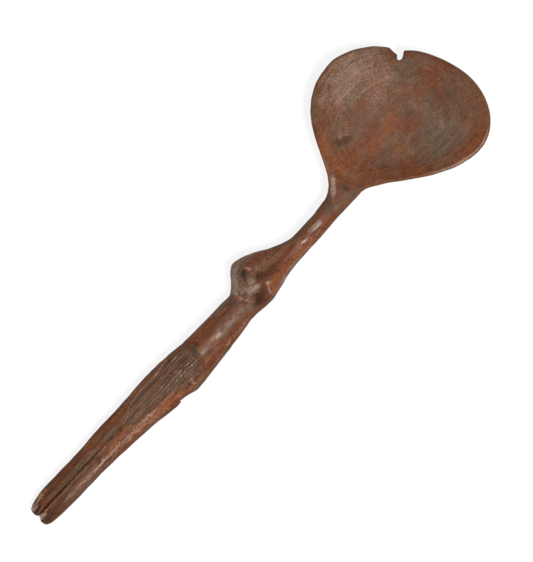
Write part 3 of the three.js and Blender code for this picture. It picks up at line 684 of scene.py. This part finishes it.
x, y, z, up = body_rings(upper_body, stations(TORSO_TOP, BUST_TOP, BUST_GAP), ring_angle)
z = z + (breast(x, y, **RIGHT_BREAST) + breast(x, y, **LEFT_BREAST)) * np.sqrt(np.maximum(0, up))
y, z = swell(y, z, tool_marks(x, y, z, KNIFE_FLATS))
bust = solid_piece("bust_carved", x, y, z, handle_wood, upper_stains_and_light(x, y, z, up))
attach(bust, "root")
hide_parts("bust")

# Torso. Waist and belly of the same wood, smooth and glossy from handling. The belly swells towards the
# hips and ends in a small ledge over the apron. The knife cut it straight across in front and slanting down
# round the left side.
LEDGE_SLANT = 0.7
LEDGE_BEND = -6
LEDGE_ABOVE, LEDGE_BELOW = 16, 24  # the slant fades out over these lengths of torso and hips
LEDGE_ROUNDING, LEDGE_RUN = 0.9, 2.5


def ledge_shift(y):
    """How far the ledge slants down the figure at a place across it: straight, then in proportion."""
    return -LEDGE_SLANT * np.maximum(0, LEDGE_BEND - y)


x, y, z, up = body_rings(upper_body, stations(HIPS_TOP, TORSO_TOP), ring_angle)
ledge_round = LEDGE_ROUNDING * ramp(x, HIPS_TOP + LEDGE_RUN, HIPS_TOP) * ramp(up, 0.2, 0.7)
y, z = swell(y, z, tool_marks(x, y, z, KNIFE_FLATS) - ledge_round)
x = x + ledge_shift(y) * ramp(x, HIPS_TOP + LEDGE_ABOVE, HIPS_TOP)
torso = solid_piece("torso_carved", x, y, z, handle_wood, upper_stains_and_light(x, y, z, up))
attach(torso, "root")
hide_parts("torso")

# Hips. Of the same billet and flat in front, where a knife point cut in a hatched apron: uneven rows along
# the body, many crossed by short cuts, with a raised line on the right. The left thigh is a smooth plane
# that ends at a nick. The apron, its stains and its painted highlights and shade run on over the joints, so
# the legs and feet share them.
LEGS_TOP = -224
FEET_TOP = -290
LOWER_SECTIONS = (
    (HIPS_TOP, 7.6, 15.7, 16, 1.4, 0, 2.4),
    (-186, 8.8, 15.95, 16.8, -0.7, 0, 2.5),
    (-204, 9.8, 14.2, 16.2, 0.8, 0, 2.5),
    (LEGS_TOP, 9.1, 11.5, 15, 2, 0, 2.5),
    (-246, 9.05, 9.75, 13.8, 2.4, 0, 2.5),
    (-262, 8.45, 9, 13, 2.6, 0, 2.5),
    (-277, 8.7, 8.95, 12.5, 2.4, 0, 2.5),
    (FEET_TOP, 8.6, 8.4, 12, 2.2, 0, 2.5),
)
GROOVE_DEPTH = 1.6
GROOVE_AT = 0.5  # the groove's floor lies this far to the right of the plane between the legs
GROOVE_STEEP_SIDE, GROOVE_GENTLE_SIDE = 0.6, 1.1
GROOVE_RUN = 75
FRONT_GROOVE_START, BACK_GROOVE_START = -215, -195
# Painted shade in the groove between the legs, stronger in some places along it.
groove_shade = smooth_curve(
    (-302, 0.8), (-290, 0.55), (-280, 0.7), (-274, 0.3), (-268, 0.3), (-262, 0.5), (-256, 0.7), (-250, 0.5),
    (-246, 0.25), (-241, 0.6), (-236, 0.3), (-230, 0),
)
ROW_PITCH = 1.9
ROW_AT = 0.55  # one of the cuts runs here, and the others keep the pitch from it
CELL_PITCH = 1.5
ROW_SWAY = ((0.3, (14, 5, 9), 41),)  # height, wave lengths and seed
CELL_SWAY = ((0.45, (6, 3, 9), 42),)
CUT_HALF_WIDTH = 0.42
CUT_DEPTH, APRON_DEPTH = 0.34, 0.12
# The apron's cuts are darker; the steep sides get painted shade.
CUT_DARK, LOWER_SIDE_SHADE = 0.68, 0.15
THIGH_EDGE = dict(across=(-8, -10), starts=(-199, -202), ends=(-240, -225), dark=0.35)
HATCH_GAP = 0.24  # between stations
# Its pale line is a painted highlight along the raised line.
RIDGE = dict(height=0.35, half=0.5, starts=(-184, -190), ends=(-296, -290), pale=0.45)
LEFT_RIDGE = dict(height=0.35, at=-5.3, half=1.3, along=(-228, -240))
APRON_POINT = -233
APRON_GREY = 0.55
apron_right = smooth_curve(
    (APRON_POINT, 0.7), (-230.6, 1.2), (-226.5, 2.3), (-223.7, 4.7), (-218.6, 5.95), (-206.7, 6.55),
    (-200, 6.4), (-195, 7.1), (-190, 7.9), (HIPS_TOP, 7),
)
apron_left = smooth_curve(
    (APRON_POINT, 0.3), (-229, -3.2), (LEGS_TOP, -5), (-215, -5.8), (-206, -6.2), (-196, -7.4),
    (-190, -9.2), (-184, -10.2), (HIPS_TOP, -8),
)
NICK = dict(depth=1.5, across=(-9, -13), along=(-179, -200), brink=(-201.4, -200.2), chip=0.5, chip_half=2)
APRON_RED = (0.161, 0.056, 0.027, 1)
APRON_BROWN = (0.156, 0.075, 0.044, 1)
LOWER_WANDER = ((1, 0.4), (7, 4, 4), (33, 34))
APRON_WORN = (
    (-181.5, -3.9, 4.5, 2.5, 1.5), (-186, -7, 7, 2, 0.6, -30), (-186.5, 4.8, 4, 1.2, 0.9),
    (-190, 1.5, 7, 1.2, 0.6), (-190.5, -3.3, 7, 2.2, 0.9), (-193, -0.4, 12, 1.2, 0.65),
    (-194, 1, 2.5, 1, 1), (-199.5, -4.4, 6, 1.7, 0.8), (-200, -1, 3, 1.4, 1.05), (-205, -2.4, 7, 1.5, 0.6),
)
LOWER_EMBER = (
    (-186, -10.8, 3, 1.4, 1.8, -36), (-187, -12.8, 3.5, 1.6, 0.4), (-199, -12.3, 6, 2, 1, -8),
    (-203, 8, 14, 1.2, 0.6), (-205, -9.8, 13, 2.8, 0.95, -13), (-210, -7, 10, 1.5, 0.7, -4),
    (-221, -7.2, 13, 2.2, 1.2, -5), (-230, -1, 3, 1.5, 0.5), (-232, 6.8, 12, 1.4, 0.35),
    (-232, -6.8, 9, 1.8, 0.6, -6), (-240, -3.5, 10, 1.6, 1.2, 2), (-262, 6.5, 18, 1.2, 0.2),
    (-289, 7, 5, 1.2, 0.6),
)
LOWER_ASH = (
    (-179.5, 3, 2, 5, 0.8), (-180.5, -11, 4, 4, 0.35), (-192.5, -7, 2, 2, 0.9), (-228, 3, 4, 1.5, 0.7),
    (-229, 1, 3, 1.5, 0.8), (-240, 2.6, 9, 1.6, 0.8), (-262, 2.6, 16, 1.5, 0.8), (-266, -7.2, 18, 1.4, 0.7),
    (-278, -4.8, 6, 1.4, 0.6), (-284, 2.6, 9, 1.5, 0.5),
)
# Pale ovals: worn places on the thigh and toes, and painted highlights along the left leg's crest.
LOWER_PALE_AND_HIGHLIGHTS = (
    (-182, -9.5, 4, 2.5, 0.25), (-186, -10.8, 2.4, 1, 1, -36), (-189, -3.6, 13, 1.8, 0.35),
    (-191, -13.6, 3, 1, 0.2), (-198, -13, 3, 1, 0.5, -8), (-199.5, 6.2, 4, 0.6, 1, 6),
    (-200, -12.2, 5, 1.4, 0.25, -8), (-210, -7, 12, 1.6, 0.25, -6), (-213, -10.6, 8, 1.6, 0.3, -12),
    (-217, -6.3, 6, 1.1, 0.65, -3), (-224, -5, 3, 1, 0.5), (-224, -7.2, 8, 2, 0.5, -6),
    (-240, -5.9, 24, 1.5, 0.5, -4), (-246, -5.7, 7, 1.2, 0.85), (-252, -7.3, 5, 1.2, 0.45),
    (-257, -5.3, 9, 0.9, 0.9, 2), (-265, -5.8, 4, 1.1, 0.5), (-268, -4.9, 6, 0.9, 0.5),
    (-280, -5, 4, 1.2, 0.5), (-293, 6.5, 4.5, 1.1, 1, 12), (-294, -0.9, 3, 0.7, 0.5),
    (-298.2, 5, 2.8, 1.3, 0.9, 10), (-298.4, -1.5, 2.6, 1.2, 0.95),
)
# Whitish ovals on the toe tips: painted light on their pared faces.
TOE_BLOOM_AND_LIGHT = ((-298.6, 4.9, 2.2, 1.3, 1.5, 8), (-299.6, -1.6, 1.8, 1.1, 1.3))
# Dark ovals: dirt, and painted shade along the groove between the legs.
LOWER_SOOT_AND_SHADE = (
    (-180, 3, 3, 4, 0.3), (-189.6, -10.7, 2.2, 0.9, 0.7, -45), (-194, 3.2, 4.5, 1.4, 0.45),
    (-208, 4.6, 20, 1.8, 0.5), (-208, -9, 3, 1.2, 0.25), (-211, -0.2, 6, 1.6, 0.35), (-224, 5, 4, 1.5, 0.4),
    (-234, 0.3, 2.6, 1.6, 0.7), (-240, 0.6, 7, 1.4, 0.35), (-240, 3.4, 18, 2.6, 0.35),
    (-242, 0, 2.6, 1.6, 0.7), (-250, -2.6, 8, 1.4, 0.35), (-254.5, -3, 3, 1.4, 0.7),
    (-255, -0.5, 3, 0.8, 0.5), (-266, -2.4, 17, 1.2, 0.5), (-272, 5.2, 24, 2.4, 0.42),
    (-286, 4.2, 10, 2, 0.5), (-287, -3.4, 13, 2.4, 0.65), (-287, -5.6, 5, 1.2, 0.35),
    (-290, 2.9, 10, 1.2, 0.35), (-293, 2.9, 3, 1.1, 0.5), (-296, -4, 6, 2.8, 0.75, 5),
    (-297, 2.9, 2.6, 1.1, 1.1), (-299.8, 2.8, 1.6, 1.2, 1.2), (-301, -5, 1.4, 2, 0.6),
)


def groove_shape(y):
    """A V across the groove, steep on its left: 1 on its floor and 0 at its edges."""
    off = y - GROOVE_AT
    return np.maximum(0, 1 - np.where(off < 0, -off / GROOVE_STEEP_SIDE, off / GROOVE_GENTLE_SIDE))


def leg_groove(x, y, start):
    """Depth of the groove between the legs: a V across that deepens along the legs."""
    return GROOVE_DEPTH * ramp(start - x, 0, GROOVE_RUN) * groove_shape(y)


def apron_share(x, y):
    """1 on the hatched apron and 0 off it, by the distance to its curved right and left borders."""
    inside = np.minimum(apron_right(x) - y, y - apron_left(x))
    return ramp(inside, 0, 0.9) * ramp(x, APRON_POINT, APRON_POINT + 2)


def chance(number):
    """A fixed chance number from 0 to 1: the fraction of a large multiple of a sine."""
    return np.mod(np.sin(number) * 4375.85, 1)


def hatch_cells(x, y):
    """The apron's uneven rows and cells: distance in millimetres to the nearest cut along the body and
    across it, and a chance number for each row and for each cell."""
    level = np.zeros_like(x)
    row = (y - ROW_AT + tool_marks(x, y, level, ROW_SWAY)) / ROW_PITCH
    row_chance = chance(np.floor(row) * 12.9898)
    cell = x / CELL_PITCH + 7 * row_chance + tool_marks(x, y, level, CELL_SWAY)
    cell_chance = chance(np.floor(cell) * 78.233 + np.floor(row) * 12.9898)
    return (row - np.round(row)) * ROW_PITCH, (cell - np.round(cell)) * CELL_PITCH, row_chance, cell_chance


def hatch(x, y):
    """Depth of the hatching, 0 to 1: narrow bells about the cuts, of uneven depth. The cross cuts differ
    from cell to cell and fade out towards the right, and all of it is shallower towards the legs."""
    to_row, to_cell, row_chance, cell_chance = hatch_cells(x, y)
    rows = bell(to_row, CUT_HALF_WIDTH) * (0.7 + 0.3 * np.sin(x / 2.5 + 20 * row_chance))
    crossed = (0.3 + 0.7 * cell_chance) * (1 - 0.9 * ramp(y, 0.5, 3))
    cuts = bell(to_cell, CUT_HALF_WIDTH) * crossed
    return np.maximum(rows, cuts) * apron_share(x, y) * (0.6 + 0.4 * ramp(x, -212, -196))


def apron_ridge(x, y):
    """The raised line on the apron's right border, which goes on as the edge of the groove: a narrow bell
    about it that fades at both ends."""
    line = np.where(x > APRON_POINT, apron_right(x), 0.7 - 0.9 * ramp(APRON_POINT - x, 0, 12))
    run = ramp(x, *RIDGE["starts"]) * ramp(x, *RIDGE["ends"])
    return bell(y - line, RIDGE["half"]) * run


def lower_rings(x, angle):
    """Rings across the hips, legs and ankles: a superellipse with the groove in front and behind, the
    apron's hatching and raised line, the knife's flats, and a slight ridge along the left leg."""
    x, y, z, up = body_rings(lower_body, x, angle)
    z = z - (up > 0) * leg_groove(x, y, FRONT_GROOVE_START)
    z = z + (up < 0) * leg_groove(x, y, BACK_GROOVE_START)
    in_front = ramp(up, 0.25, 0.6)
    left_ridge = bell(y - LEFT_RIDGE["at"], LEFT_RIDGE["half"]) * ramp(x, *LEFT_RIDGE["along"])
    cutting = (RIDGE["height"] * apron_ridge(x, y) - CUT_DEPTH * hatch(x, y)
               - APRON_DEPTH * apron_share(x, y) + LEFT_RIDGE["height"] * left_ridge)
    off_middle = ramp(np.abs(y), 0.1, 0.9)
    y, z = swell(y, z, (tool_marks(x, y, z, KNIFE_FLATS) + in_front * cutting) * off_middle)
    return x, y, z, up


def lower_stains_and_light(x, y, z, up):
    """The stains, painted highlights and painted shade of the hips, legs and feet: soft ovals in front, a
    grey apron with worn cells, darker cuts, painted shade on the sides and in the groove, and a painted
    highlight along the raised line."""
    front = ramp(up, 0, 0.3)
    layers = oval_layers(
        x, y, z, front, LOWER_WANDER,
        dict(ember=LOWER_EMBER, ash=LOWER_ASH, pale=LOWER_PALE_AND_HIGHLIGHTS, soot_and_shade=LOWER_SOOT_AND_SHADE), dict(bloom_and_sheen=TOE_BLOOM_AND_LIGHT))
    apron, cuts = front * apron_share(x, y), front * hatch(x, y)
    to_row, _, row_chance, _ = hatch_cells(x, y)
    strokes = ramp(np.abs(to_row), 0.35, 0.85) * (0.65 + 0.35 * np.sin(1.05 * x + 20 * row_chance))
    worn = apron * (1 - hatch(x, y)) * strokes * blots(x, y, *APRON_WORN)
    layers["ember"] *= 1 - apron
    layers["ash"] = np.maximum(layers["ash"], APRON_GREY * apron)
    # A painted highlight along the raised line.
    ridge_highlight = RIDGE["pale"] * front * apron_ridge(x, y)
    layers["pale"] = np.maximum(layers["pale"] * (1 - 0.8 * cuts), ridge_highlight)
    layers["bloom_and_sheen"] = np.maximum(layers["bloom_and_sheen"], worn)
    thigh_run = ramp(x, *THIGH_EDGE["starts"]) * ramp(x, *THIGH_EDGE["ends"])
    thigh_edge = ramp(y, *THIGH_EDGE["across"]) * thigh_run
    # Painted shade on the steep sides; below the left thigh's edge they are darker still.
    sides = steepness(y, z) * (LOWER_SIDE_SHADE + THIGH_EDGE["dark"] * thigh_edge)
    # Painted shade in the groove.
    in_groove = groove_shade(x) * front * ramp(groove_shape(y), 0.3, 0.8)
    layers["cut"] = np.maximum(np.maximum(CUT_DARK * cuts, in_groove), sides)
    return layers


lower_body = body_curves(LOWER_SECTIONS)
x, y, z, up = lower_rings(stations(LEGS_TOP, HIPS_TOP, HATCH_GAP), ring_angle)
hip_stains_and_light = lower_stains_and_light(x, y, z, up)
pared = ramp(x, *NICK["along"]) * ramp(x, *NICK["brink"])
nick = NICK["depth"] * pared + NICK["chip"] * bell(x - NICK["brink"][0], NICK["chip_half"])
y = y + np.minimum(nick, NICK["depth"]) * ramp(y, *NICK["across"])
x = x + ledge_shift(y) * ramp(x, HIPS_TOP - LEDGE_BELOW, HIPS_TOP)
apron_wood = carved_wood(
    "apron_wood", APRON_RED, APRON_BROWN, roughness=0.5, ragged=0.6,
    cloud_waves=(45, 110, 110), mottle_waves=(140, 360, 360), mark_waves=(20, 700, 700),
    contrast=dict(speck=2.2, mottle=1.2, grain=1, marks=0.8))
hips = solid_piece("hips_carved", x, y, np.maximum(z, 0), apron_wood, hip_stains_and_light)
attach(hips, "root")
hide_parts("hips")

# Legs. Two straight legs of the same wood, left side by side and parted in front and behind by a V groove
# cut with a knife. The right one is flat and dull in front. The left one is rounder, with a rubbed crest.
LEG_RED = (0.145, 0.045, 0.019, 1)
LEG_BROWN = (0.13, 0.06, 0.031, 1)
HATCH_END, LEG_HATCH_GAP = -234, 0.25  # the stations lie closer together as far as the apron reaches

right_half = np.arange(-RING_POINTS // 4, RING_POINTS // 4 + 1)
left_half = np.arange(RING_POINTS // 4, 3 * RING_POINTS // 4 + 1) % RING_POINTS
leg_wood = carved_wood(
    "leg_wood", LEG_RED, LEG_BROWN, roughness=0.44, ragged=0.6,
    cloud_waves=(40, 110, 110), mottle_waves=(120, 380, 380), mark_waves=(16, 700, 700),
    contrast=dict(speck=2.4, mottle=1.4, grain=1.2, marks=1))
places = np.concatenate([stations(FEET_TOP, HATCH_END)[:-1], stations(HATCH_END, LEGS_TOP, LEG_HATCH_GAP)])
leg_x, leg_y, leg_z, up = lower_rings(places, ring_angle)
leg_stains_and_light = lower_stains_and_light(leg_x, leg_y, leg_z, up)
for side, half in (("right", right_half), ("left", left_half)):
    y = leg_y[:, half]
    y[:, [0, -1]] = 0
    stains = {key: amount[:, half] for key, amount in leg_stains_and_light.items()}
    leg = solid_piece(side + "_leg_carved", leg_x[:, half], y, leg_z[:, half], leg_wood, stains)
    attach(leg, "root")
    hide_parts(side + "_leg")

# Feet. Each leg ends in a short blunt foot of the same wood, which the knife drew in to the toe and pared
# off on top. The pared faces are rubbed pale and lightened further with painted light, and the ends below
# them are dark.
RIGHT_FOOT = dict(way=1, length=11.6, taper=0.16, pared=0)
LEFT_FOOT = dict(way=-1, length=12, taper=0.08, pared=0.75)
TOE_WIDTH_SHARE, TOE_HEIGHT_SHARE = 0.88, 0.5
TOE_FULLNESS = 2.4
TOE_DROP = 1.2
TOE_END = 2.2  # the blunt end is a low dome of this length
TOE_MIDDLE = 3  # its middle lies this far from the plane between the feet
TOE_STATIONS, DOME_STATIONS = 40, 16
PARED_AT, PARED_REACH = 1.3, 1.1  # the left toe's inner corner is pared back here,
PARED_RUN, PARED_FADE = 4, 5  # from a little before its end

toe_turn = np.linspace(np.pi / 2, 0, TOE_STATIONS)[:, None]
dome = np.linspace(0.04, 0.97, DOME_STATIONS)[:, None]
drawn = squared(np.cos(toe_turn), TOE_FULLNESS)
toe_tall = TOE_HEIGHT_SHARE + (1 - TOE_HEIGHT_SHARE) * drawn
toe_along = squared(np.sin(toe_turn), TOE_FULLNESS)
for side, sizes, half in (("right", RIGHT_FOOT, right_half), ("left", LEFT_FOOT, left_half)):
    ankle_y, ankle_z = leg_y[:1, half], leg_z[:1, half]
    ankle_y[:, [0, -1]] = 0
    toe_width = (TOE_WIDTH_SHARE + (1 - TOE_WIDTH_SHARE) * drawn) * (1 - sizes["taper"] * toe_along)
    middle_z = (ankle_z.min() + ankle_z.max()) / 2
    y = ankle_y * toe_width
    z = middle_z + (ankle_z - middle_z) * toe_tall - TOE_DROP * toe_along
    toe_back = FEET_TOP - sizes["length"] + TOE_END
    x = np.broadcast_to(FEET_TOP + (toe_back - FEET_TOP) * toe_along, y.shape)
    middle_y = sizes["way"] * TOE_MIDDLE
    end_y = middle_y + (y[:1] - middle_y) * dome
    end_z = middle_z - TOE_DROP + (z[:1] - middle_z + TOE_DROP) * dome
    end_x = np.broadcast_to(toe_back - TOE_END * np.sqrt(1 - dome ** 2), end_y.shape)
    x, y, z = np.concatenate([end_x, x]), np.concatenate([end_y, y]), np.concatenate([end_z, z])
    pared = sizes["pared"] * bell(np.abs(y) - PARED_AT, PARED_REACH)
    x = x + pared * ramp(toe_back + PARED_RUN - x, 0, PARED_FADE)
    stains = lower_stains_and_light(x, y, z, np.broadcast_to(np.sin(ring_angle)[:, half], y.shape))
    foot = solid_piece(side + "_foot_carved", x, y, z, leg_wood, stains)
    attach(foot, "root")
    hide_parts(side + "_foot")

# Floor, light and camera. A plain pale floor under the spoon, one soft lamp high on the picture's right,
# an even sky, and a long lens looking straight down with the spoon's bowl to the upper right.
PHOTO_TALL = 309  # millimetres that the picture's height takes in at the spoon's level
VIEW_MIDDLE = (-120.25, -2.7)
VIEW_LEVEL = 12
VIEW_DISTANCE = 2500
PICTURE_UP = (0.72905, 0.68446)
FLOOR_HALF = 4000
FLOOR_DROP = 0.05  # the floor lies this far below the spoon's rests
FLOOR_SHADE = 0.17
FLOOR_GLOW = 0.85
SKY_LIGHT = 0.44
LAMP_LIGHT = 2.14
LAMP_SOFTNESS = 12  # degrees
LAMP_WAY = (0.03, -0.3, 0.95)  # from the spoon to the lamp, on the lower right of the picture


def grey(level):
    """A plain grey of one level."""
    return level, level, level, 1


def seen_directly(tree):
    """1 for rays from the camera and those that are reflected or passed on sharply, and 0 for the light
    that falls on things."""
    path = tree.nodes.new("ShaderNodeLightPath")
    rays = [Vein(tree, path.outputs["Is %s Ray" % kind]) for kind in ("Camera", "Glossy", "Transmission")]
    return (rays[0] + rays[1] + rays[2]).ramp(0, 0.5)


floor_mesh = bpy.data.meshes.new("floor")
floor_corners = [(FLOOR_HALF * way_x * MM, FLOOR_HALF * way_y * MM, -FLOOR_DROP * MM)
                 for way_x, way_y in ((-1, -1), (1, -1), (1, 1), (-1, 1))]
floor_mesh.from_pydata(floor_corners, [], [(0, 1, 2, 3)])
floor = add_object("floor", floor_mesh)
paper = bpy.data.materials.new("pale_floor")
paper.use_nodes = True
paper_shader = paper.node_tree.nodes["Principled BSDF"]
matt = {"Base Color": grey(FLOOR_SHADE), "Roughness": 1, "Specular IOR Level": 0, "Emission Strength": 1}
for title, value in matt.items():
    paper_shader.inputs[title].default_value = value
glow = seen_directly(paper.node_tree).over(grey(0), grey(FLOOR_GLOW))
paper.node_tree.links.new(glow.socket, paper_shader.inputs["Emission Color"])
floor_mesh.materials.append(paper)

sky = bpy.data.worlds.new("even_sky")
sky.use_nodes = True
sky_colour = seen_directly(sky.node_tree).over(grey(SKY_LIGHT), grey(1))
sky.node_tree.links.new(sky_colour.socket, sky.node_tree.nodes["Background"].inputs["Color"])
bpy.context.scene.world = sky

lamp = bpy.data.lights.new("soft_lamp", "SUN")
lamp.energy = LAMP_LIGHT
lamp.angle = math.radians(LAMP_SOFTNESS)
lamp_object = add_object("soft_lamp", lamp)
lamp_object.rotation_euler = Vector(LAMP_WAY).to_track_quat("Z", "Y").to_euler()

camera = bpy.data.cameras.new("camera")
camera.sensor_width = 36
camera.lens = camera.sensor_width * VIEW_DISTANCE / PHOTO_TALL
camera.clip_end = 100
camera_object = add_object("camera", camera)
camera_object.location = (VIEW_MIDDLE[0] * MM, VIEW_MIDDLE[1] * MM, (VIEW_LEVEL + VIEW_DISTANCE) * MM)
camera_object.rotation_euler = (0, 0, math.atan2(-PICTURE_UP[0], PICTURE_UP[1]))
bpy.context.scene.camera = camera_object
bpy.context.scene.view_settings.view_transform = "Standard"
